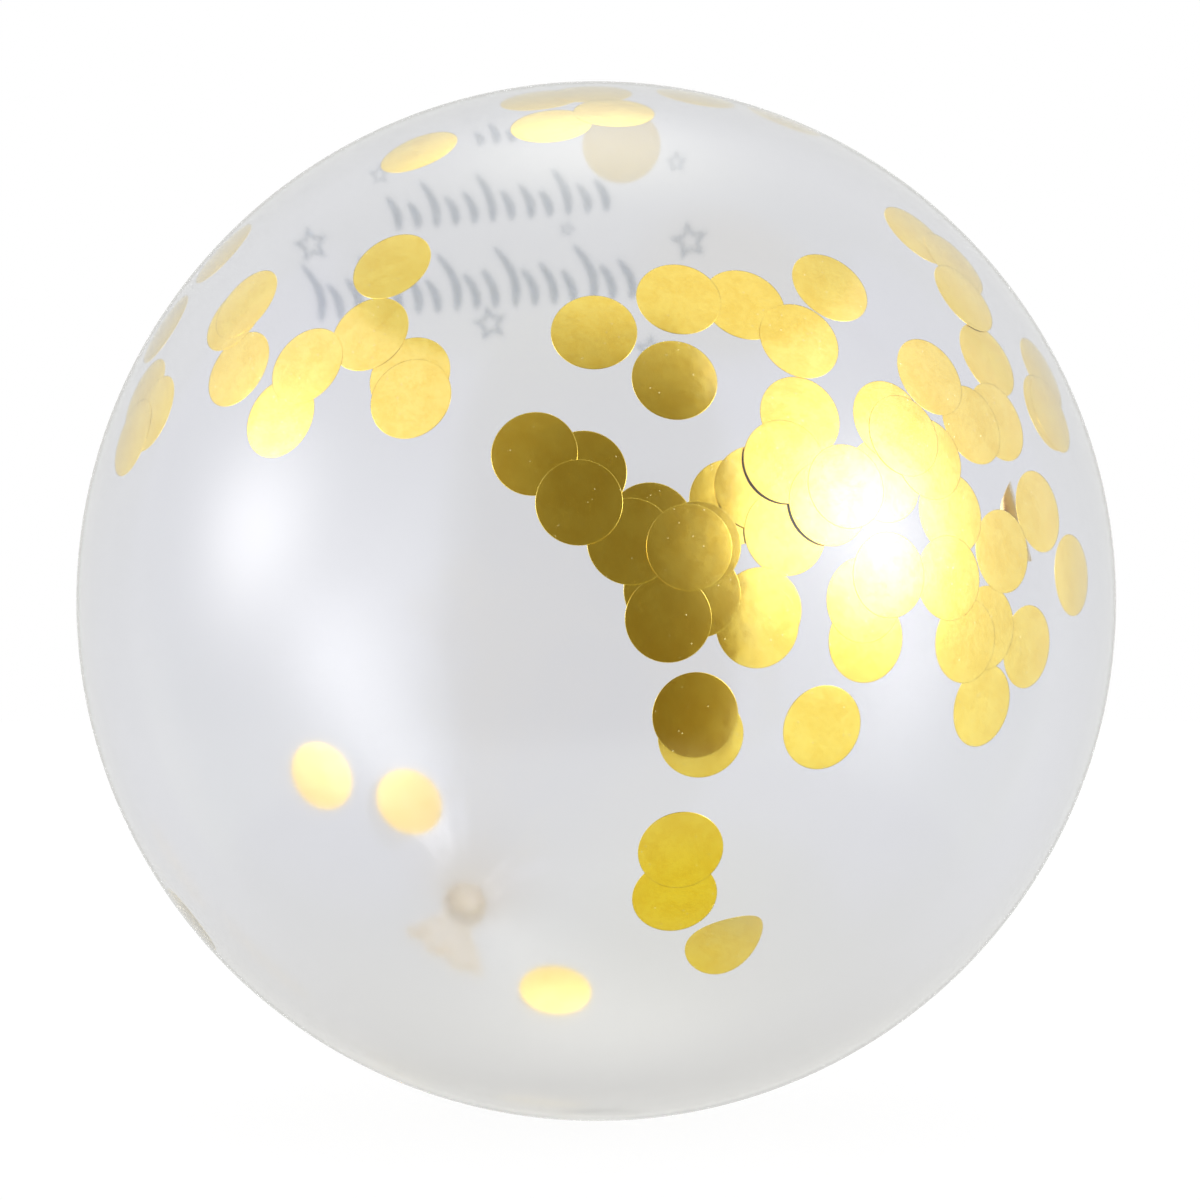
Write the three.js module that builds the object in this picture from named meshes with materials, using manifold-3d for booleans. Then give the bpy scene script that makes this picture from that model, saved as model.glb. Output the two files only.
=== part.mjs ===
// Confetti balloon: a round latex balloon, blown up tight and tied, lying at rest on a table.
//
// Millimetres, +Z up. The origin is the centre of the small flat spot that the balloon lies on. +Y points away
// from the side that faces a viewer. The mouth is on the far side, low and a little to the left.
// The balloon is sealed, so it is one closed solid: the round wall, the taper to the neck, the knot tied in the
// neck, and the flat tail behind the knot, which ends in the rolled lip of the mouth.

import * as THREE from 'three';
import { mergeVertices } from 'three/addons/utils/BufferGeometryUtils.js';
import Module from 'manifold-3d';

const wasm = await Module();
wasm.setup();

// The round wall
const BALLOON_DIAMETER = 305;
const FLAT_SPOT_DIAMETER = 30;

// How the balloon lies: its neck's axis points down and to the left of straight away
const NECK_DROOP_DEG = 34;
const NECK_TURN_DEG = 17;

// The taper from the round wall to the knot
const TAPER_START_DEG = 42;
const NECK_REACH = 26;
const NECK_DIAMETER = 9;
const SHOULDER_FULLNESS = 55;
const NECK_STRAIGHTNESS = 24;

// The knot
const KNOT_WRAP_THICKNESS = 6.6;
const KNOT_WRAP_DIAMETER = 15.5;
const KNOT_WRAP_TILT_DEG = 16;
const KNOT_CORE_DIAMETER = 12;
const KNOT_CORE_LENGTH = 11;

// The tail and the lip of the mouth
const TAIL_LENGTH = 23;
const TAIL_ROOT_DIAMETER = 8;
const MOUTH_WIDTH = 27;
const MOUTH_THICKNESS = 4;
const LIP_THICKNESS = 2.8;
const TAIL_TURN_DEG = 35;

// How finely the round forms are faceted
const WALL_SEGMENTS = 78;
const WALL_ROWS = 30;
const TAPER_ROWS = 14;
const KNOT_SEGMENTS = 28;
const WRAP_SEGMENTS = 12;
const KNOT_ROWS = 8;
const TAIL_ROWS = 8;

const radius = BALLOON_DIAMETER / 2;
const flatRadius = FLAT_SPOT_DIAMETER / 2;
const centreHeight = Math.sqrt(radius ** 2 - flatRadius ** 2);
const neckRadius = NECK_DIAMETER / 2;
const knotHeight = radius + NECK_REACH;
const tailHeight = knotHeight + KNOT_CORE_LENGTH / 2;
const mouthHeight = tailHeight + TAIL_LENGTH;

// From here to the pose, every form stands on the balloon's centre with its neck along +Y.

// A closed solid of revolution about the Y axis from a profile that starts and ends on that axis
function turned(profile, segments) {
  return new THREE.LatheGeometry(profile, segments);
}

// The round wall from the crown to where the taper starts, then the taper, then a flat end inside the knot
function wallAndTaper() {
  const start = THREE.MathUtils.degToRad(TAPER_START_DEG);
  const profile = [];
  for (let row = 0; row <= WALL_ROWS; row += 1) {
    const fromNeck = Math.PI - (row / WALL_ROWS) * (Math.PI - start);
    profile.push(new THREE.Vector2(row === 0 ? 0 : radius * Math.sin(fromNeck), radius * Math.cos(fromNeck)));
  }
  const leave = profile[profile.length - 1];
  const along = new THREE.Vector2(-Math.cos(start), Math.sin(start));
  const taper = new THREE.CubicBezierCurve(
    leave,
    leave.clone().addScaledVector(along, SHOULDER_FULLNESS),
    new THREE.Vector2(neckRadius, knotHeight - NECK_STRAIGHTNESS),
    new THREE.Vector2(neckRadius, knotHeight),
  );
  profile.push(...taper.getPoints(TAPER_ROWS).slice(1));
  profile.push(new THREE.Vector2(0, knotHeight));
  return turned(profile, WALL_SEGMENTS);
}

// The bunched skin in the middle of the knot, a rounded barrel
function knotCore() {
  const profile = [];
  for (let row = 0; row <= KNOT_ROWS; row += 1) {
    const turn = Math.PI * (row / KNOT_ROWS - 0.5);
    const out = row === 0 || row === KNOT_ROWS ? 0 : (KNOT_CORE_DIAMETER / 2) * Math.cos(turn);
    profile.push(new THREE.Vector2(out, knotHeight + (KNOT_CORE_LENGTH / 2) * Math.sin(turn)));
  }
  return turned(profile, KNOT_SEGMENTS);
}

// The turn of skin that wraps round the neck, a thick ring that sits askew
function knotWrap() {
  const tube = KNOT_WRAP_THICKNESS / 2;
  const ring = new THREE.TorusGeometry(KNOT_WRAP_DIAMETER / 2 - tube, tube, WRAP_SEGMENTS, KNOT_SEGMENTS);
  ring.rotateX(Math.PI / 2 + THREE.MathUtils.degToRad(KNOT_WRAP_TILT_DEG));
  ring.translate(0, knotHeight, 0);
  return ring;
}

// The skin behind the knot: round where it leaves the knot, wide and flat at the mouth
function tail() {
  const rootRadius = TAIL_ROOT_DIAMETER / 2;
  const profile = [new THREE.Vector2(0, knotHeight)];
  for (let row = 0; row <= TAIL_ROWS; row += 1) {
    const share = row / TAIL_ROWS;
    profile.push(new THREE.Vector2(rootRadius, THREE.MathUtils.lerp(tailHeight, mouthHeight, share)));
  }
  profile.push(new THREE.Vector2(0, mouthHeight));
  const geometry = turned(profile, KNOT_SEGMENTS);
  const places = geometry.attributes.position;
  for (let i = 0; i < places.count; i += 1) {
    const share = THREE.MathUtils.smoothstep(places.getY(i), tailHeight, mouthHeight);
    const wide = THREE.MathUtils.lerp(rootRadius, MOUTH_WIDTH / 2, share);
    const thick = THREE.MathUtils.lerp(rootRadius, MOUTH_THICKNESS / 2, share);
    places.setX(i, places.getX(i) * (wide / rootRadius));
    places.setZ(i, places.getZ(i) * (thick / rootRadius));
  }
  return geometry;
}

// The rolled lip round the mouth: a ring whose path is flattened, while its section stays round
function lip() {
  const tube = LIP_THICKNESS / 2;
  const ringRadius = MOUTH_WIDTH / 2;
  const flatness = MOUTH_THICKNESS / MOUTH_WIDTH;
  const ring = new THREE.TorusGeometry(ringRadius, tube, KNOT_ROWS, KNOT_SEGMENTS * 2);
  const places = ring.attributes.position;
  for (let i = 0; i < places.count; i += 1) {
    const around = Math.atan2(places.getY(i), places.getX(i));
    const pathHeight = ringRadius * Math.sin(around);
    places.setY(i, places.getY(i) - pathHeight * (1 - flatness));
  }
  ring.rotateX(Math.PI / 2);
  ring.translate(0, mouthHeight, 0);
  return ring;
}

// The resting pose: the neck's axis turns from +Y to where it lies, and the centre comes up over the flat spot
function restingPose() {
  const droop = THREE.MathUtils.degToRad(NECK_DROOP_DEG);
  const turn = THREE.MathUtils.degToRad(NECK_TURN_DEG);
  const neck = new THREE.Vector3(
    -Math.cos(droop) * Math.sin(turn),
    Math.cos(droop) * Math.cos(turn),
    -Math.sin(droop),
  );
  const pose = new THREE.Matrix4().makeRotationFromQuaternion(
    new THREE.Quaternion().setFromUnitVectors(new THREE.Vector3(0, 1, 0), neck),
  );
  return pose.setPosition(0, 0, centreHeight);
}

// A closed mesh as a solid that can be joined and cut
function solidOf(geometry) {
  geometry.deleteAttribute('normal');
  geometry.deleteAttribute('uv');
  const merged = mergeVertices(geometry, 1e-4);
  return new wasm.Manifold(new wasm.Mesh({
    numProp: 3,
    vertProperties: new Float32Array(merged.attributes.position.array),
    triVerts: new Uint32Array(merged.index.array),
  }));
}

function geometryOf(solid) {
  const mesh = solid.getMesh();
  const geometry = new THREE.BufferGeometry();
  geometry.setAttribute('position', new THREE.BufferAttribute(new Float32Array(mesh.vertProperties), 3));
  geometry.setIndex(new THREE.BufferAttribute(new Uint32Array(mesh.triVerts), 1));
  geometry.computeVertexNormals();
  return geometry;
}

// The whole skin in its resting pose, with the flat spot cut where it meets the table
function balloonGeometry() {
  const pose = restingPose();
  const turnedTail = [tail(), lip()].map((form) => form.rotateY(THREE.MathUtils.degToRad(TAIL_TURN_DEG)));
  const forms = [wallAndTaper(), knotCore(), knotWrap(), ...turnedTail];
  const skin = forms
    .map((form) => solidOf(form.applyMatrix4(pose)))
    .reduce((joined, form) => joined.add(form));
  const underTable = new THREE.BoxGeometry(BALLOON_DIAMETER, BALLOON_DIAMETER, radius);
  underTable.translate(0, 0, -radius / 2);
  return geometryOf(skin.subtract(solidOf(underTable)));
}

const latex = new THREE.MeshStandardMaterial({
  color: 0xd8d9dc,
  roughness: 0.12,
  metalness: 0,
  transparent: true,
  opacity: 0.35,
});

const balloon = new THREE.Mesh(balloonGeometry(), latex);
balloon.name = 'balloon';

const confettiBalloon = new THREE.Group();
confettiBalloon.add(balloon);

export default confettiBalloon;
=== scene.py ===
"""Confetti balloon: the clear skin with its print, the knot and tail, and the gold foil discs inside."""

from math import atan2, cos, hypot, pi, radians, sin, sqrt
from random import Random

import bmesh
import bpy
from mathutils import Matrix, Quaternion, Vector


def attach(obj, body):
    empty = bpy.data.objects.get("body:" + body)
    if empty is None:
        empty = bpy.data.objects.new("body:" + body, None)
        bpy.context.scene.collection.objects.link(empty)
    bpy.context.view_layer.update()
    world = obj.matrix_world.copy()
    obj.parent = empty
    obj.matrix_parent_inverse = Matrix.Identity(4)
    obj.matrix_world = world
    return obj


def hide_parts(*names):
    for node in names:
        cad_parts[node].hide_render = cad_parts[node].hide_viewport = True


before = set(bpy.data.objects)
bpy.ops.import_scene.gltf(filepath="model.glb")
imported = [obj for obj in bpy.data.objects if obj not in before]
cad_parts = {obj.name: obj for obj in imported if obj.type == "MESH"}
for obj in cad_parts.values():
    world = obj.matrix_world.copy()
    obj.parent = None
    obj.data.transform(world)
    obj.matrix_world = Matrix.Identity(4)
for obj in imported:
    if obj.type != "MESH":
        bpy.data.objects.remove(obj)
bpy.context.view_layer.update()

MM = 0.001

# The balloon, as the solid has it
RADIUS = 152.5 * MM
FLAT_SPOT_RADIUS = 15 * MM
CENTRE = Vector((0, 0, sqrt(RADIUS ** 2 - FLAT_SPOT_RADIUS ** 2)))
NECK_DROOP = radians(34)
NECK_TURN = radians(17)
NECK_AXIS = Vector((-cos(NECK_DROOP) * sin(NECK_TURN), cos(NECK_DROOP) * cos(NECK_TURN), -sin(NECK_DROOP)))
POSE = Vector((0, 1, 0)).rotation_difference(NECK_AXIS)

# The taper and the neck, the knot and the tail
TAPER_START = radians(42)
SHOULDER_FULLNESS = 55 * MM
NECK_STRAIGHTNESS = 24 * MM
NECK_RADIUS = 4.5 * MM
KNOT_HEIGHT = RADIUS + 26 * MM

# The photo is square, and the balloon's centre shows a little off its middle
PHOTO_SIDE = 1200
PHOTO_MIDDLE = PHOTO_SIDE / 2
BALLOON_IN_PHOTO = (596.3, 601.1)
CAMERA_DISTANCE = 8 * RADIUS
FOCAL_PIXELS = 4127
SENSOR_WIDTH = 36
CAMERA_PLACE = CENTRE + Vector((
    (PHOTO_MIDDLE - BALLOON_IN_PHOTO[0]) * CAMERA_DISTANCE / FOCAL_PIXELS,
    -CAMERA_DISTANCE,
    (BALLOON_IN_PHOTO[1] - PHOTO_MIDDLE) * CAMERA_DISTANCE / FOCAL_PIXELS,
))

# The foil discs
DISC_RADIUS = 11.4 * MM
FOIL_THICKNESS = 0.02 * MM
GAP_TO_SKIN = 0.12 * MM
LAYER_CLEARANCE = 0.015 * MM

# Photo pixels of the discs that cling to the skin, by group. A disc lies over those listed after it. Where
# two more numbers follow, the disc is turned that many degrees to the right and upwards.
CLINGING_DISCS = {
    "upper_left": [
        (306, 365), (391, 265), (410, 398), (279, 417), (369, 333), (409, 375), (245, 303), (235, 315),
        (237, 368),
    ],
    "left_rim": [(131, 437), (151, 413), (143, 395), (222, 252), (164, 328), (190, 921)],
    "top": [(614, 111), (551, 124), (592, 92), (540, 98), (418, 150), (696, 96), (785, 119)],
    "upper_middle": [
        (594, 331), (675, 379, 0.6, -0.6), (679, 298), (800, 340), (745, 303, 0.5, 1), (831, 286),
    ],
    "centre": [
        (690, 547, 0.9, 0.2), (579, 502), (534, 453, -0.5, 0.3), (631, 541), (669, 619), (583, 472),
        (699, 544, -0.4, 0), (651, 525), (699, 594), (668, 590, 0, -0.8),
    ],
    "lower_centre": [(696, 716, 0, 2.2), (702, 737), (759, 625), (762, 611), (823, 728)],
    "bright": [
        (847, 486), (829, 503), (785, 461), (801, 416), (787, 532), (758, 487), (733, 501, 1.6, 0),
        (905, 435), (930, 458), (890, 420), (890, 575), (885, 480), (950, 578), (952, 513), (865, 600),
        (867, 640),
    ],
    "right": [
        (1004, 551), (1040, 511), (931, 376), (973, 424), (999, 421), (967, 641), (988, 628), (1029, 647),
        (984, 706), (1074, 575),
    ],
    "right_rim": [(965, 297), (989, 359), (955, 262), (918, 234), (1052, 414), (1046, 412), (1043, 373)],
    "lower": [(681, 851), (675, 897)],
}

# The same for the discs on the far wall, which the balloon magnifies a little
FAR_DISCS = {"far": [(320, 777), (408, 803), (555, 993)]}
FAR_MAGNIFICATION = 1.01

# Photo pixels of the print, which is on the far wall: each row's ends, its height there, and its strokes
PRINT_ROWS = [
    {"start": (398, 205), "end": (606, 186), "height": 48, "strokes": 12},
    {"start": (320, 290), "end": (632, 268), "height": 60, "strokes": 17},
    {"start": (480, 133), "end": (590, 122), "height": 20, "strokes": 8},
]

# Each star's middle and its width
PRINT_STARS = [((310, 243), 40), ((490, 323), 38), ((690, 240), 42), ((567, 228), 18), ((677, 160), 24),
               ((650, 350), 34), ((378, 172), 24)]


class Value:
    """A number socket. Python's own operators on it add Math nodes."""

    def __init__(self, graph, socket):
        self.graph = graph
        self.socket = socket

    def math(self, operation, *terms):
        node = self.graph.add("Math", {"operation": operation}, dict(enumerate(terms)))
        return Value(self.graph, node.outputs[0])

    def __add__(self, other):
        return self.math("ADD", self, other)

    def __radd__(self, other):
        return self.math("ADD", other, self)

    def __sub__(self, other):
        return self.math("SUBTRACT", self, other)

    def __rsub__(self, other):
        return self.math("SUBTRACT", other, self)

    def __mul__(self, other):
        return self.math("MULTIPLY", self, other)

    def __rmul__(self, other):
        return self.math("MULTIPLY", other, self)

    def __truediv__(self, other):
        return self.math("DIVIDE", self, other)

    def below(self, limit):
        return self.math("MINIMUM", self, limit)

    def above(self, limit):
        return self.math("MAXIMUM", self, limit)

    def exp(self):
        return self.math("EXPONENT", self)

    def rise(self, start, end):
        """A smooth step from 0 at start to 1 at end"""
        node = self.graph.add("MapRange", {"interpolation_type": "SMOOTHSTEP"},
                              {"Value": self, "From Min": start, "From Max": end})
        return Value(self.graph, node.outputs["Result"])


class Graph:
    """The node tree of a material or a world"""

    def __init__(self, owner):
        owner.use_nodes = True
        self.tree = owner.node_tree
        self.tree.nodes.clear()

    def add(self, kind, settings=None, sockets=None):
        node = self.tree.nodes.new("ShaderNode" + kind)
        for name, value in (settings or {}).items():
            setattr(node, name, value)
        for name, value in (sockets or {}).items():
            if isinstance(value, Value):
                value = value.socket
            if isinstance(value, bpy.types.NodeSocket):
                self.tree.links.new(value, node.inputs[name])
            else:
                node.inputs[name].default_value = value
        return node

    def value(self, kind, settings=None, sockets=None, output=0):
        return Value(self, self.add(kind, settings, sockets).outputs[output])

    def noise(self, place, scale, detail=2.0, roughness=0.5):
        sockets = {"Vector": place, "Scale": scale, "Detail": detail, "Roughness": roughness}
        return self.value("TexNoise", {"noise_dimensions": "3D"}, sockets)

    def blend(self, share, first, second):
        """A colour that goes from first to second"""
        node = self.add("Mix", {"data_type": "RGBA"}, {"Factor": share, 6: first, 7: second})
        return node.outputs[2]

    def bump(self, height, distance):
        return self.add("Bump", None, {"Height": height, "Distance": distance}).outputs[0]

    def place(self):
        return self.add("TexCoord").outputs["Object"]

    def finish(self, shader, kind="OutputMaterial"):
        self.add(kind, None, {"Surface": shader})


def principled(graph, sockets):
    graph.finish(graph.add("BsdfPrincipled", None, sockets).outputs[0])


# Materials

# The skin's tints: where it is thin, low down (a painted shade, warmer and slightly darker), gathered at the
# neck and thick at the crown
THIN_SKIN = ((0.674, 0.681, 0.715, 1), (0.694, 0.7, 0.734, 1))
LOW_SKIN_PAINTED_SHADE = (0.677, 0.672, 0.657, 1)
GATHERED_SKIN = (0.64, 0.57, 0.48, 1)
CROWN_SKIN = (0.6, 0.57, 0.52, 1)
CROWN_SHARE = 0.5
SKIN_RIPPLE = 0.06 * MM


def clear_latex():
    """The stretched skin: it greys and blurs the light that goes through, and mirrors as a gloss coat does"""
    material = bpy.data.materials.new("clear_latex")
    graph = Graph(material)
    place = graph.place()
    cloud = graph.noise(place, 9, 3)
    tint = graph.blend(cloud.rise(0.3, 0.7), *THIN_SKIN)
    middle = graph.add("VectorMath", {"operation": "SUBTRACT"}, {0: place, 1: CENTRE}).outputs[0]
    along = graph.value("VectorMath", {"operation": "DOT_PRODUCT"}, {0: middle, 1: NECK_AXIS}, output="Value")
    height = graph.value("SeparateXYZ", None, {0: middle}, output=2)
    # Painted shade: the lower part of the skin, by its height, gets a warmer and slightly darker tint
    low = 1 - height.rise(-0.97 * RADIUS, -0.4 * RADIUS)
    gathered = along.rise(1.0 * RADIUS, 1.17 * RADIUS)
    crown = (0 - along).rise(0.975 * RADIUS, 1.0 * RADIUS)
    tint = graph.blend(low, tint, LOW_SKIN_PAINTED_SHADE)
    tint = graph.blend(gathered, tint, GATHERED_SKIN)
    tint = graph.blend(crown * CROWN_SHARE, tint, CROWN_SKIN)
    ripple = graph.noise(place, 26, 2)
    principled(graph, {
        "Base Color": tint,
        "Transmission Weight": 1.0,
        "IOR": 1.006,
        "Roughness": 0.7,
        "Coat Weight": 1.0,
        "Coat IOR": 1.46,
        "Coat Roughness": 0.14,
        "Normal": graph.bump(ripple, SKIN_RIPPLE),
    })
    return material


# The foil's unevenness, in millimetres, and its dust specks
GRAIN_DEPTH = 0.006
SPECK_DEPTH = 0.01
SAG_DEPTH = 0.1
SPECK_TINT = (1, 0.93, 0.62, 1)
SPECK_SHARE = 0.7
SPECK_DULLNESS = 0.35
CLOUD_DULLNESS = 0.06


def foil(name, dull, bright, metallic, roughness):
    """Metallised foil, never quite flat, with a fine grain and specks"""
    material = bpy.data.materials.new(name)
    graph = Graph(material)
    place = graph.place()
    grain = graph.noise(place, 3200, 2)
    sag = graph.noise(place, 110, 2)
    dots = graph.add("TexVoronoi", None, {"Vector": place, "Scale": 620})
    chosen = graph.value("TexWhiteNoise", {"noise_dimensions": "3D"}, {"Vector": dots.outputs["Position"]})
    specks = (1 - Value(graph, dots.outputs["Distance"]).rise(0.08, 0.17)) * chosen.rise(0.8, 0.82)
    cloud = graph.noise(place, 150, 4, 0.6)
    mottle = graph.noise(place, 850, 3, 0.65)
    colour = graph.blend((0.55 * cloud + 0.45 * mottle).rise(0.38, 0.62), dull, bright)
    principled(graph, {
        "Base Color": graph.blend(specks * SPECK_SHARE, colour, SPECK_TINT),
        "Metallic": metallic,
        "Roughness": roughness + CLOUD_DULLNESS * cloud + CLOUD_DULLNESS * mottle + SPECK_DULLNESS * specks,
        "Coat Weight": 0.8,
        "Coat Roughness": 0.1,
        "Normal": graph.bump(grain * GRAIN_DEPTH + specks * SPECK_DEPTH + sag * SAG_DEPTH, MM),
    })
    return material


def gold_foil():
    dull, bright = (0.87, 0.615, 0.06, 1), (0.935, 0.71, 0.11, 1)
    return foil("gold_foil", dull, bright, metallic=1.0, roughness=0.07)


def paler_foil_painted_veil():
    """The same foil on the far wall, paler and duller. The paler colour is a painted veil of the light that
    the skin scatters over it.
    """
    # Painted veil: the gold made paler for the light scattered over it, not a paler foil
    dull, bright = (0.76, 0.57, 0.2, 1), (0.81, 0.62, 0.25, 1)
    return foil("paler_foil_painted_veil", dull, bright, metallic=1.0, roughness=0.2)


def pale_foil():
    """The matt back of the foil, which only the hanging disc shows"""
    dull, bright = (0.99, 0.92, 0.79, 1), (1, 0.95, 0.86, 1)
    return foil("pale_foil", dull, bright, metallic=0.1, roughness=0.4)


# The unstretched latex, how far light scatters inside it, and a painted glow that stands in for the light
# that shines through it
MILKY_LATEX = ((0.88, 0.81, 0.71, 1), (0.91, 0.86, 0.79, 1))
PAINTED_SHINE_THROUGH = (1, 0.84, 0.62, 1)
PAINTED_SHINE_THROUGH_LEVEL = 0.19
SHINE_REACH = 3 * MM
CREASE_DEPTH = 0.08 * MM


def thick_latex():
    """The unstretched latex of the knot and the tail: milky and slightly amber, with a painted glow for the
    light that shines through it
    """
    material = bpy.data.materials.new("thick_latex")
    material.cycles.emission_sampling = "NONE"
    graph = Graph(material)
    place = graph.place()
    cloud = graph.noise(place, 160, 4)
    creases = graph.noise(place, 700, 3)
    colour = graph.blend(cloud.rise(0.3, 0.7), *MILKY_LATEX)
    principled(graph, {
        "Base Color": colour,
        # Painted light: the emission is a glow that stands in for light shining through the latex from behind
        "Emission Color": PAINTED_SHINE_THROUGH,
        "Emission Strength": PAINTED_SHINE_THROUGH_LEVEL,
        "Roughness": 0.35 + 0.15 * creases,
        "Subsurface Weight": 0.4,
        "Subsurface Radius": (1.0, 0.8, 0.6),
        "Subsurface Scale": SHINE_REACH,
        "Coat Weight": 0.4,
        "Coat Roughness": 0.15,
        "Normal": graph.bump(creases, CREASE_DEPTH),
    })
    return material


def balloon_ink():
    """Dull blue-grey ink, stretched thin with the skin so that it is full of pinholes"""
    material = bpy.data.materials.new("balloon_ink")
    graph = Graph(material)
    place = graph.place()
    pinholes = graph.noise(place, 1500, 2).rise(0.34, 0.5)
    cloud = graph.noise(place, 60, 2)
    dark, light = (0.22, 0.33, 0.48, 1), (0.3, 0.42, 0.58, 1)
    principled(graph, {
        "Base Color": graph.blend(cloud, dark, light),
        "Roughness": 0.6,
        "Alpha": 0.12 + 0.5 * pinholes,
    })
    return material


# Where things are in the photo and on the wall

def on_wall(pixel, radius, far=False):
    """Which point at this radius shows at a pixel of the photo, given from the balloon's centre"""
    if far:
        pixel = [m + (p - m) / FAR_MAGNIFICATION for p, m in zip(pixel, BALLOON_IN_PHOTO)]
    look = Vector((pixel[0] - PHOTO_MIDDLE, FOCAL_PIXELS, PHOTO_MIDDLE - pixel[1])).normalized()
    start = CAMERA_PLACE - CENTRE
    nearest = -start.dot(look)
    room = radius ** 2 - (start + nearest * look).length_squared
    reach = sqrt(max(room, 0.0))
    return (start + (nearest + (reach if far else -reach)) * look).normalized() * radius


def tangents(outward, turn):
    """Two directions along the wall: at this angle to the right in the photo, and a quarter turn clockwise"""
    along = Vector((cos(turn), 0, sin(turn)))
    along = (along - along.dot(outward) * outward).normalized()
    return along, along.cross(outward)


# Meshes

def new_piece(name, vertices, faces, material, slot):
    mesh = bpy.data.meshes.new(name)
    mesh.from_pydata(vertices, [], faces)
    mesh.validate()
    piece = bpy.data.objects.new(name, mesh)
    bpy.context.scene.collection.objects.link(piece)
    mesh.materials.append(material)
    mesh.shade_smooth()
    if slot:
        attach(piece, "root")
    return piece


def apply_modifiers(piece):
    """Turns what the modifiers make into the piece's own mesh"""
    evaluated = piece.evaluated_get(bpy.context.evaluated_depsgraph_get())
    mesh = bpy.data.meshes.new_from_object(evaluated)
    piece.modifiers.clear()
    piece.data = mesh


def make_outward(piece):
    work = bmesh.new()
    work.from_mesh(piece.data)
    bmesh.ops.recalc_face_normals(work, faces=work.faces)
    work.to_mesh(piece.data)
    work.free()


def ring_faces(rings, segments, first=0):
    """Quads between rings of vertices, each ring's vertices in a row"""
    faces = []
    for ring in range(rings - 1):
        for step in range(segments):
            a = first + ring * segments + step
            b = first + ring * segments + (step + 1) % segments
            faces.append((a, b, b + segments, a + segments))
    return faces


# The foil discs

DISC_RINGS = (0.4, 0.75, 0.93, 0.987, 1.0)
DISC_SEGMENTS = 56
MOST_LEAN = 0.6
MOST_WAVE = 0.05 * MM
MOST_FLATNESS = 0.25
LEAST_WAVE = 0.008 * MM


def foil_disc(name, place, turn, foil, lean=0.0, twist=0.0, bend=0.0, wave=0.0, wave_turn=0.0, flatness=0.0):
    """A round of thin foil on the inside of the wall.

    It leans inwards to the clockwise side of the direction at turn. Twist adds to that along the direction,
    and bend curls it on inwards. A flatness of 1 leaves it flat, and of 0 as round as the wall.
    """
    outward = place.normalized()
    along, across = tangents(outward, turn)
    vertices = []
    for share in (0.0,) + DISC_RINGS:
        for step in range(DISC_SEGMENTS if share else 1):
            angle = 2 * pi * step / DISC_SEGMENTS
            a = share * DISC_RADIUS * cos(angle)
            b = share * DISC_RADIUS * sin(angle)
            tilt = lean + twist * a / DISC_RADIUS
            if bend:
                curl = bend / DISC_RADIUS
                side = (sin(tilt + curl * b) - sin(tilt)) / curl
                depth = (cos(tilt) - cos(tilt + curl * b)) / curl
            else:
                side = b * cos(tilt)
                depth = b * sin(tilt)
            depth += (1 - flatness) * (a * a + b * b) / (2 * RADIUS)
            depth += wave * share ** 2 * cos(2 * (angle - wave_turn))
            vertices.append(CENTRE + place + a * along + side * across - depth * outward)
    faces = [(0, 1 + (step + 1) % DISC_SEGMENTS, 1 + step) for step in range(DISC_SEGMENTS)]
    faces += ring_faces(len(DISC_RINGS), DISC_SEGMENTS, first=1)
    piece = new_piece(name, vertices, faces, foil, "gold_foil")
    thickness = piece.modifiers.new("thickness", "SOLIDIFY")
    thickness.thickness = FOIL_THICKNESS
    thickness.offset = 0
    apply_modifiers(piece)


def clinging_discs(groups, foil, far):
    """Discs flat on the wall. Where two overlap, the later one lies further in, clear of the earlier one.

    A disc that lies alone sags a little at random. The others only ripple, so that they stay clear.
    """
    rng = Random(7)
    discs = [(group, number, on_wall(disc[:2], RADIUS, far).normalized(), disc[2:])
             for group, listed in groups.items() for number, disc in enumerate(listed, 1)]
    laid = []
    for group, number, outward, tilt in discs:
        reach_of_two = 2 * DISC_RADIUS / RADIUS
        alone = sum(outward.angle(other[2]) < reach_of_two for other in discs) == 1
        sag = (rng.uniform(-1, 1) * MOST_LEAN, rng.uniform(-1, 1) * MOST_LEAN)
        right, up = tilt or (sag if alone else (0, 0))
        wave = rng.uniform(0.5, 1) * (MOST_WAVE if alone else LEAST_WAVE)
        wave_turn = rng.uniform(0, pi)
        flatness = rng.uniform(-1, 1) * MOST_FLATNESS
        lean = radians(hypot(right, up))
        reach = lean * DISC_RADIUS + wave + FOIL_THICKNESS / 2
        over = [deepest for other, deepest in laid if outward.angle(other) < reach_of_two]
        depth = max(over, default=GAP_TO_SKIN) + LAYER_CLEARANCE + reach
        laid.append((outward, depth + reach))
        foil_disc(
            f"foil_disc_{group}_{number:02d}", outward * (RADIUS - depth), atan2(up, right) + pi / 2, foil,
            lean=lean, wave=wave, wave_turn=wave_turn, flatness=flatness if alone else 0.0,
        )


# Photo pixels of the two loose discs by the wall, how far in they are, and where the hanging one is
CURLED_DISC = (726, 943)
FOLDED_DISC = (1021, 521)
LOOSE_DEPTH = 4 * MM
HANGING_DISC = Vector((0.048, -0.1, 0.87)) * RADIUS


def loose_discs(foil, veil_painted_foil, reverse):
    """The discs that don't lie flat"""
    inside = RADIUS - GAP_TO_SKIN - LOOSE_DEPTH
    foil_disc("foil_disc_curled", on_wall(CURLED_DISC, inside), radians(60), foil,
              lean=radians(9), twist=radians(13), bend=radians(6), flatness=1)
    foil_disc("foil_disc_hanging", HANGING_DISC, 0.0, reverse, lean=radians(104), flatness=1)
    # The folded disc takes the foil with the painted veil of scattered light
    foil_disc("foil_disc_folded", on_wall(FOLDED_DISC, inside), radians(115), veil_painted_foil,
              lean=radians(24), bend=radians(50), flatness=1)


# The skin

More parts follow.
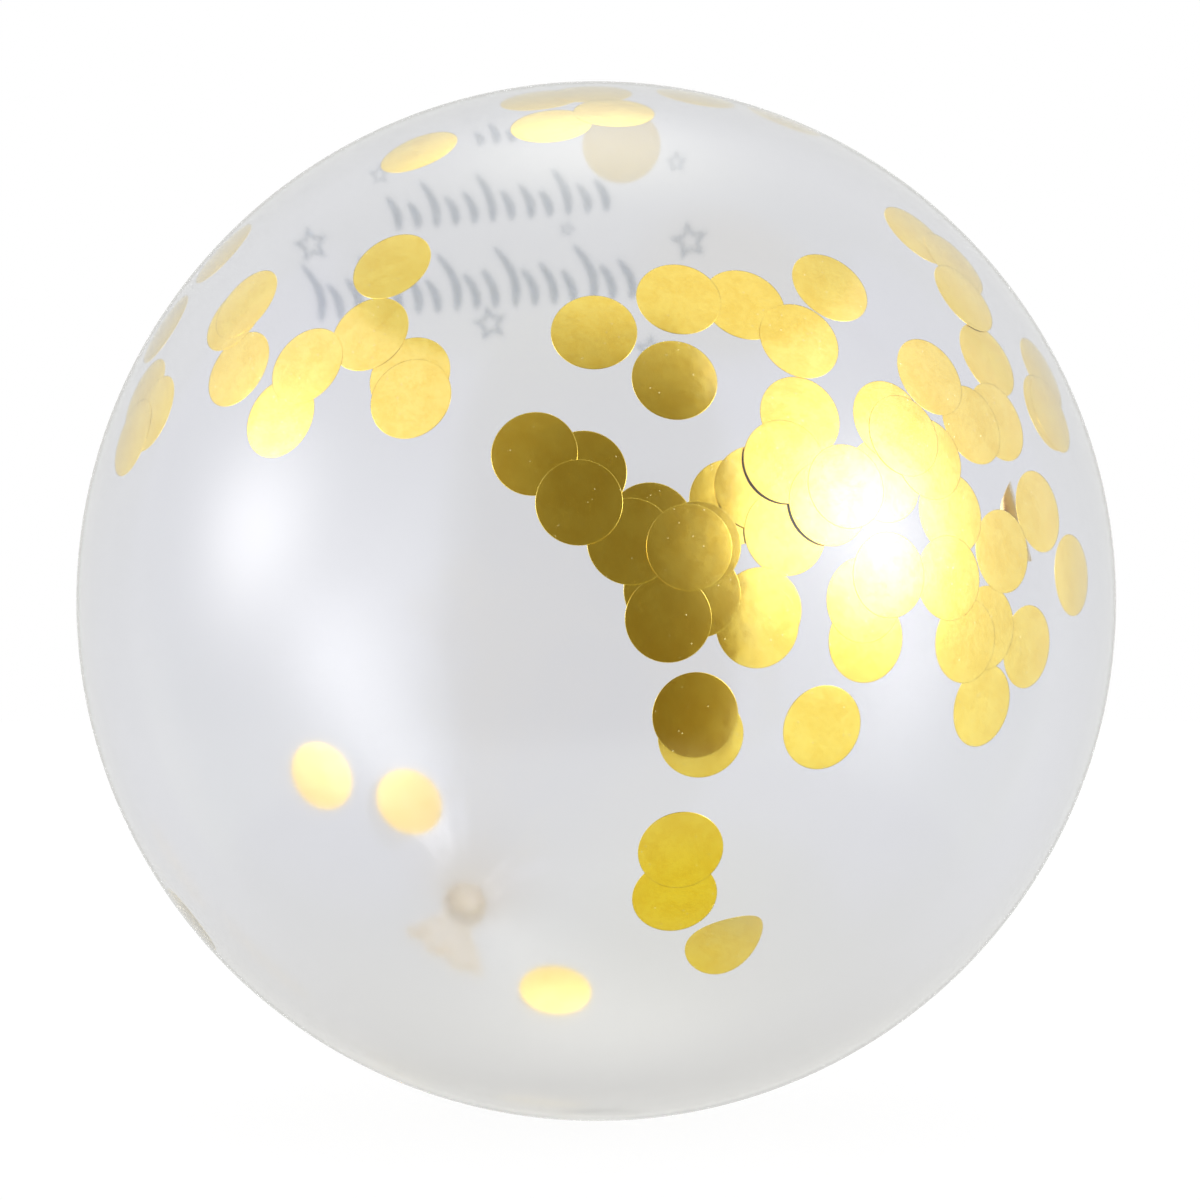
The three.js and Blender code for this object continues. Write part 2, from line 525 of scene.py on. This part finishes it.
SKIN_SEGMENTS = 384
SKIN_ROWS = 170
TAPER_ROWS = 60
PLEATS = 17
PLEAT_DEPTH = 0.55 * MM
PLEAT_REACH = 34 * MM
SPOT_SOFTNESS = 0.3 * MM


def curve_point(points, share):
    """A point on the cubic curve with these four control points"""
    rest = 1 - share
    weights = (rest ** 3, 3 * rest ** 2 * share, 3 * rest * share ** 2, share ** 3)
    return tuple(sum(w * p[axis] for w, p in zip(weights, points)) for axis in (0, 1))


def skin_profile():
    """Distance from the neck's axis and height along it, from the crown to the knot"""
    profile = []
    for row in range(1, SKIN_ROWS + 1):
        from_neck = pi - row / SKIN_ROWS * (pi - TAPER_START)
        profile.append((RADIUS * sin(from_neck), RADIUS * cos(from_neck)))
    out, height = profile[-1]
    shoulder = (out - SHOULDER_FULLNESS * cos(TAPER_START), height + SHOULDER_FULLNESS * sin(TAPER_START))
    neck = (NECK_RADIUS, KNOT_HEIGHT - NECK_STRAIGHTNESS)
    points = ((out, height), shoulder, neck, (NECK_RADIUS, KNOT_HEIGHT))
    profile += [curve_point(points, row / TAPER_ROWS) for row in range(1, TAPER_ROWS + 1)]
    return profile


def balloon_skin(latex):
    """The blown-up skin from the crown to the knot, with pleats where it is gathered"""
    profile = skin_profile()
    vertices = [Vector((0, -RADIUS, 0))]
    for out, height in profile:
        gather = max(0.0, 1 - (KNOT_HEIGHT - height) / PLEAT_REACH) ** 2
        for step in range(SKIN_SEGMENTS):
            angle = 2 * pi * step / SKIN_SEGMENTS
            fold = gather * PLEAT_DEPTH * sin(PLEATS * angle + 1.5 * sin(3 * angle))
            vertices.append(Vector(((out + fold) * cos(angle), height, (out + fold) * sin(angle))))
    last = len(vertices)
    vertices.append(Vector((0, KNOT_HEIGHT, 0)))
    placed = []
    for vertex in vertices:
        point = CENTRE + POSE @ vertex
        point.z = (point.z + sqrt(point.z ** 2 + SPOT_SOFTNESS ** 2)) / 2
        placed.append(point)
    rings = len(profile)
    faces = [(0, 1 + (step + 1) % SKIN_SEGMENTS, 1 + step) for step in range(SKIN_SEGMENTS)]
    faces += [tuple(reversed(face)) for face in ring_faces(rings, SKIN_SEGMENTS, first=1)]
    end = 1 + (rings - 1) * SKIN_SEGMENTS
    faces += [(end + step, end + (step + 1) % SKIN_SEGMENTS, last) for step in range(SKIN_SEGMENTS)]
    skin = new_piece("balloon_skin", placed, faces, latex, "clear_latex")
    make_outward(skin)
    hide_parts("balloon")


# The print

PRINT_LIFT = 0.05 * MM
STROKE_STEPS = 14
STROKE_WIDTH = 9.5
STROKE_SLANT = 0.34
STROKE_HEIGHTS = (1.0, 0.62, 0.7, 0.55, 0.95, 0.6, 0.66)
LEAST_BEND = 0.1
MOST_BEND = 0.16
STAR_POINTS = 5
STAR_DEPTH = 0.46
STAR_LINE = 0.54
MOST_STAR_TURN = 0.3


def printed(name, first, second, ink, closed):
    """A thin shape on the outside of the far wall between two rows of photo pixels"""
    lift = RADIUS + PRINT_LIFT
    vertices = [CENTRE + on_wall(pixel, lift, far=True) for pixel in first + second]
    count = len(first)
    faces = [(k, (k + 1) % count, count + (k + 1) % count, count + k)
             for k in range(count if closed else count - 1)]
    new_piece(name, vertices, faces, ink, "clear_latex")


def slanted_stroke(name, foot, height, bend, ink):
    """A slanted pen stroke, thin at its ends and bent like a bow"""
    first, second = [], []
    for step in range(STROKE_STEPS + 1):
        share = step / STROKE_STEPS
        x = foot[0] - STROKE_SLANT * height * share + bend * sin(pi * share) * height
        y = foot[1] - height * share
        half = STROKE_WIDTH / 2 * (0.3 + 0.7 * sin(pi * share) ** 0.4)
        first.append((x - half, y))
        second.append((x + half, y))
    printed(name, first, second, ink, closed=False)


def outline_star(name, middle, width, turn, ink):
    rows = []
    for size in (1.0, STAR_LINE):
        row = []
        for corner in range(2 * STAR_POINTS):
            reach = size * width / 2 * (STAR_DEPTH if corner % 2 else 1.0)
            angle = turn + pi * corner / STAR_POINTS
            row.append((middle[0] + reach * sin(angle), middle[1] - reach * cos(angle)))
        rows.append(row)
    printed(name, rows[0], rows[1], ink, closed=True)


def print_on_skin(ink):
    """Rows of pen strokes that spell nothing, and stars round them"""
    rng = Random(3)
    for row_number, row in enumerate(PRINT_ROWS, 1):
        for k in range(row["strokes"]):
            share = k / (row["strokes"] - 1)
            x, y = (a + share * (b - a) for a, b in zip(row["start"], row["end"]))
            height = row["height"] * STROKE_HEIGHTS[(k + 2 * row_number) % len(STROKE_HEIGHTS)]
            bend = rng.uniform(LEAST_BEND, MOST_BEND)
            foot = (x, y + row["height"] / 2)
            slanted_stroke(f"print_stroke_{row_number}_{k + 1:02d}", foot, height, bend, ink)
    for number, (middle, width) in enumerate(PRINT_STARS, 1):
        outline_star(f"print_star_{number}", middle, width, rng.uniform(-MOST_STAR_TURN, MOST_STAR_TURN), ink)


# The knot and the tail

KNOT_CORE_RADIUS = 6 * MM
KNOT_CORE_LENGTH = 11 * MM
KNOT_PLEATS = 11
WRAP_RADIUS = 3.3 * MM
WRAP_PATH_RADIUS = 4.45 * MM
WRAP_TILT = radians(16)
WRAP_TURNS = 1.3
WRAP_RISE = 2.6 * MM
WRAP_STEPS = 90
TUBE_SIDES = 28
TAIL_START = KNOT_HEIGHT + KNOT_CORE_LENGTH / 2
TAIL_LENGTH = 23 * MM
TAIL_ROOT_RADIUS = 4 * MM
MOUTH_HALF_WIDTH = 13.5 * MM
MOUTH_HALF_THICKNESS = 2 * MM
TAIL_WALL = 0.5 * MM
LIP_RADIUS = 1.4 * MM
TAIL_TURN = radians(35)
TAIL_ROWS = 36
TAIL_SEGMENTS = 120
TAIL_WAVE = 1.1 * MM
TAIL_WAVE_LENGTH = 9.5 * MM


def sweep(path, radii, closed):
    """A round tube along a path. An open one has its ends capped."""
    count = len(path)
    vertices = []
    side = (path[1] - path[0]).orthogonal()
    for k, (point, radius) in enumerate(zip(path, radii)):
        ahead = path[(k + 1) % count] if closed else path[min(k + 1, count - 1)]
        behind = path[k - 1] if closed else path[max(k - 1, 0)]
        forward = (ahead - behind).normalized()
        side = (side - side.dot(forward) * forward).normalized()
        other = forward.cross(side)
        for step in range(TUBE_SIDES):
            angle = 2 * pi * step / TUBE_SIDES
            vertices.append(point + radius * (cos(angle) * side + sin(angle) * other))
    faces = ring_faces(count, TUBE_SIDES)
    last = (count - 1) * TUBE_SIDES
    if closed:
        faces += [(last + step, last + (step + 1) % TUBE_SIDES, (step + 1) % TUBE_SIDES, step)
                  for step in range(TUBE_SIDES)]
    else:
        faces += [tuple(range(TUBE_SIDES)), tuple(range(last, last + TUBE_SIDES))]
    return vertices, faces


def joined(*forms):
    """Several forms' vertices and faces as one"""
    vertices, faces = [], []
    for form_vertices, form_faces in forms:
        faces += [tuple(len(vertices) + corner for corner in face) for face in form_faces]
        vertices += form_vertices
    return vertices, faces


def on_neck(name, form, latex):
    """A piece of the balloon given about the neck's axis, which is +Y there, and set in its place"""
    vertices, faces = form
    piece = new_piece(name, [CENTRE + POSE @ vertex for vertex in vertices], faces, latex, "clear_latex")
    make_outward(piece)
    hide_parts("balloon")


def knot_core():
    vertices = []
    rows = 30
    for row in range(1, rows):
        turn = pi * (row / rows - 0.5)
        for step in range(TAIL_SEGMENTS):
            angle = 2 * pi * step / TAIL_SEGMENTS
            pleat = 1 + 0.07 * sin(KNOT_PLEATS * angle + 3 * turn) + 0.03 * sin(23 * angle - 2 * turn)
            out = KNOT_CORE_RADIUS * cos(turn) ** 0.8 * pleat
            height = KNOT_HEIGHT + KNOT_CORE_LENGTH / 2 * sin(turn)
            vertices.append(Vector((out * cos(angle), height, out * sin(angle))))
    last = (rows - 2) * TAIL_SEGMENTS
    faces = ring_faces(rows - 1, TAIL_SEGMENTS)
    faces += [tuple(range(TAIL_SEGMENTS)), tuple(range(last, last + TAIL_SEGMENTS))]
    return vertices, faces


def knot_wrap():
    """The turn of skin round the neck: a thick strand that starts and ends in the core"""
    tilt = Quaternion((1, 0, 0), WRAP_TILT)
    path, radii = [], []
    for step in range(WRAP_STEPS + 1):
        share = step / WRAP_STEPS
        angle = 2 * pi * WRAP_TURNS * share
        tuck = min(share, 1 - share, 0.12) / 0.12
        out = WRAP_PATH_RADIUS * (0.35 + 0.65 * sin(tuck * pi / 2))
        rise = WRAP_RISE * (share - 0.5)
        path.append(tilt @ Vector((out * cos(angle), rise, out * sin(angle))) + Vector((0, KNOT_HEIGHT, 0)))
        crease = 1 + 0.05 * sin(17 * angle) + 0.03 * sin(41 * angle + 1)
        radii.append(WRAP_RADIUS * (0.55 + 0.35 * tuck) * crease)
    return sweep(path, radii, closed=False)


def tail_point(share, angle, grow=0.0):
    """A point of the tail's skin: round at the knot, flat and wavy at the mouth"""
    ease = share * share * (3 - 2 * share)
    wide = TAIL_ROOT_RADIUS + ease * (MOUTH_HALF_WIDTH - TAIL_ROOT_RADIUS) + grow
    thick = TAIL_ROOT_RADIUS + ease * (MOUTH_HALF_THICKNESS - TAIL_ROOT_RADIUS) + grow
    x = wide * cos(angle)
    wave = ease * TAIL_WAVE * sin(2 * pi * x / TAIL_WAVE_LENGTH + 0.8)
    gather = (1 - ease) * 0.06 * sin(9 * angle + 4 * share)
    z = thick * sin(angle) * (1 + gather) + wave
    return Quaternion((0, 1, 0), TAIL_TURN) @ Vector((x * (1 + gather), TAIL_START + TAIL_LENGTH * share, z))


def tail_skin():
    """The tail's outer and inner face, open at the mouth"""
    rings = [(row / TAIL_ROWS, 0.0) for row in range(TAIL_ROWS + 1)]
    rings += [(1 - row / TAIL_ROWS, -TAIL_WALL) for row in range(TAIL_ROWS + 1)]
    vertices = [tail_point(share, 2 * pi * step / TAIL_SEGMENTS, grow)
                for share, grow in rings for step in range(TAIL_SEGMENTS)]
    last = (len(rings) - 1) * TAIL_SEGMENTS
    faces = ring_faces(len(rings), TAIL_SEGMENTS)
    faces.append(tuple(range(last, last + TAIL_SEGMENTS)))
    faces.append(tuple(range(TAIL_SEGMENTS)))
    return vertices, faces


def mouth_lip():
    angles = [2 * pi * step / TAIL_SEGMENTS for step in range(TAIL_SEGMENTS)]
    path = [tail_point(1.0, angle) for angle in angles]
    radii = [LIP_RADIUS * (1 + 0.06 * sin(7 * angle)) for angle in angles]
    return sweep(path, radii, closed=True)


def knot_and_tail(latex):
    on_neck("balloon_knot", joined(knot_core(), knot_wrap()), latex)
    on_neck("balloon_tail", joined(tail_skin(), mouth_lip()), latex)


# The stage

FLOOR_RADIUS = 4.0
FLOOR_DROP = 0.3 * MM
FLOOR_SIDES = 96
FLOOR_GREY = 0.1
FLOOR_GLOW = 0.92


def pale_floor():
    """A bright even floor, which isn't there for what mirrors it: the foil mirrors the studio instead"""
    material = bpy.data.materials.new("pale_floor")
    material.cycles.emission_sampling = "NONE"
    graph = Graph(material)
    mirrored = graph.value("LightPath", output="Glossy Depth").below(1.0)
    pale = graph.add("BsdfPrincipled", None, {
        "Base Color": (FLOOR_GREY, FLOOR_GREY, FLOOR_GREY, 1), "Roughness": 1.0, "Specular IOR Level": 0.0,
        "Emission Color": (1, 1, 1, 1), "Emission Strength": FLOOR_GLOW,
    })
    clear = graph.add("BsdfTransparent")
    either = graph.add("MixShader", None, {0: mirrored, 1: pale.outputs[0], 2: clear.outputs[0]})
    graph.finish(either.outputs[0])
    angles = [2 * pi * k / FLOOR_SIDES for k in range(FLOOR_SIDES)]
    ring = [Vector((FLOOR_RADIUS * cos(angle), FLOOR_RADIUS * sin(angle), -FLOOR_DROP)) for angle in angles]
    floor = new_piece("floor", ring, [tuple(range(FLOOR_SIDES))], material, None)


# What the foil and the gloss mirror. Directions are in degrees: round from the front to the right, then up
# from level. The dark room and the softboxes are given by their left, right, lower and upper edge, and how
# soft these are.
DARK_ROOM = (-33, 31, -30, 100, 1.8)
LEFT_SOFTBOX = (-122, -33, -32, 50, 2.2)
RIGHT_SOFTBOX = (31, 122, -32, 50, 2.2)
ROOM_LEVEL = 0.355
SOFTBOX_LEVEL = 0.45
SKY_LEVEL = 1.12

# Round glows: their direction, how wide they are, and their level
SKY_GLOWS = ((30, 70, 24, 0.3), (70, 58, 16, 0.35), (-115, 45, 20, 0.15), (180, 69, 11.5, 2.6))
LAMPS = ((-78, 12, 10.5, 6.5), (-60, 1, 15, 0.3), (-42, 8, 10, 1.3), (63, 13, 10.5, 8.5), (41, 14, 10, 1.3))
LOW_FRONT = (34, -62, 17)

# Their tints
ROOM_TINTS = ((1, 0.77, 0.22, 1), (1, 0.85, 0.34, 1))
SKY_TINT = (1, 1, 0.88, 1)
LOW_FRONT_TINT = (1, 0.96, 0.2, 1)
REAR_TINT = (1, 1, 0.97, 1)
SOFTBOX_TINTS = ((1, 1.04, 0.85, 1), (1, 1, 1.17, 1))
LAMP_TINT = (1, 0.99, 1.01, 1)


def studio():
    """White all round to the eye. What mirrors it sees softboxes, a dark room between them and a pale sky."""
    world = bpy.data.worlds.new("studio")
    bpy.context.scene.world = world
    world.cycles.sampling_method = "NONE"
    graph = Graph(world)
    direction = graph.add("TexCoord").outputs["Generated"]
    parts = graph.add("SeparateXYZ", None, {0: direction})
    x, y, z = (Value(graph, parts.outputs[axis]) for axis in range(3))
    across = x.math("ARCTAN2", x, 0 - y) * (180 / pi)
    height = z.math("ARCSINE", z) * (180 / pi)

    def window(left, right, low, high, soft):
        sides = across.rise(left - soft, left + soft) * (1 - across.rise(right - soft, right + soft))
        return sides * height.rise(low - soft, low + soft) * (1 - height.rise(high - soft, high + soft))

    def lamp(middle, middle_height, spread):
        """A round glow: 1 in its middle, and 0.6 at this many degrees from it"""
        out = cos(radians(middle_height))
        aim = (out * sin(radians(middle)), -out * cos(radians(middle)), sin(radians(middle_height)))
        near = graph.value("VectorMath", {"operation": "DOT_PRODUCT"}, {0: direction, 1: aim}, output="Value")
        return ((near - 1) * (1 / radians(spread) ** 2)).exp()

    fade = ((height - 25) * (1 / 40)).above(0).below(1)
    room = window(*DARK_ROOM) * (1 - fade * fade)
    spill = 0.16 * across.rise(13, 30) + 0.14 * (1 - across.rise(-24, -6))
    low = 1 - height.rise(-33, -29)
    rear = (y - 0.2).rise(0, 0.5)
    boxes = window(*LEFT_SOFTBOX) + window(*RIGHT_SOFTBOX)
    boxes = boxes * (1 - 0.5 * across.math("ABSOLUTE", across).rise(92, 122))
    sky = SKY_LEVEL + sum(level * lamp(*place) for *place, level in SKY_GLOWS) + 0.04 * low
    sky = sky + (0.33 - 0.4 * y.rise(0.5, 0.95) - 0.45 * (0 - z).rise(0.35, 0.85)) * rear
    glow = sum(level * lamp(*place) for *place, level in LAMPS)
    level = sky - (sky - ROOM_LEVEL - spill) * room + SOFTBOX_LEVEL * boxes + glow
    tint = graph.blend(room, SKY_TINT, graph.blend(height.rise(-30, 10), *ROOM_TINTS))
    tint = graph.blend(low * lamp(*LOW_FRONT), tint, LOW_FRONT_TINT)
    tint = graph.blend(rear, tint, REAR_TINT)
    tint = graph.blend(boxes, tint, graph.blend(height.rise(-35, 25), *SOFTBOX_TINTS))
    tint = graph.blend(glow / level, tint, LAMP_TINT)
    mirrored = graph.value("LightPath", output="Glossy Depth").below(1.0)
    seen = graph.add("Background", None, {"Color": (1, 1, 1, 1), "Strength": 1.0})
    lit = graph.add("Background", None, {"Color": tint, "Strength": level})
    either = graph.add("MixShader", None, {0: mirrored, 1: seen.outputs[0], 2: lit.outputs[0]})
    graph.finish(either.outputs[0], "OutputWorld")


def camera():
    data = bpy.data.cameras.new("camera")
    data.sensor_width = SENSOR_WIDTH
    data.lens = SENSOR_WIDTH * FOCAL_PIXELS / PHOTO_SIDE
    viewer = bpy.data.objects.new("camera", data)
    viewer.location = CAMERA_PLACE
    viewer.rotation_euler = (radians(90), 0, 0)
    bpy.context.scene.collection.objects.link(viewer)
    bpy.context.scene.camera = viewer


camera()
studio()
pale_floor()
bpy.context.scene.view_settings.view_transform = "Standard"

balloon_skin(clear_latex())
knot_and_tail(thick_latex())
print_on_skin(balloon_ink())
gold = gold_foil()
clinging_discs(CLINGING_DISCS, gold, far=False)
# The far discs take the gold foil with a painted veil of scattered light
veil_painted_foil = paler_foil_painted_veil()
clinging_discs(FAR_DISCS, veil_painted_foil, far=True)
loose_discs(gold, veil_painted_foil, pale_foil())
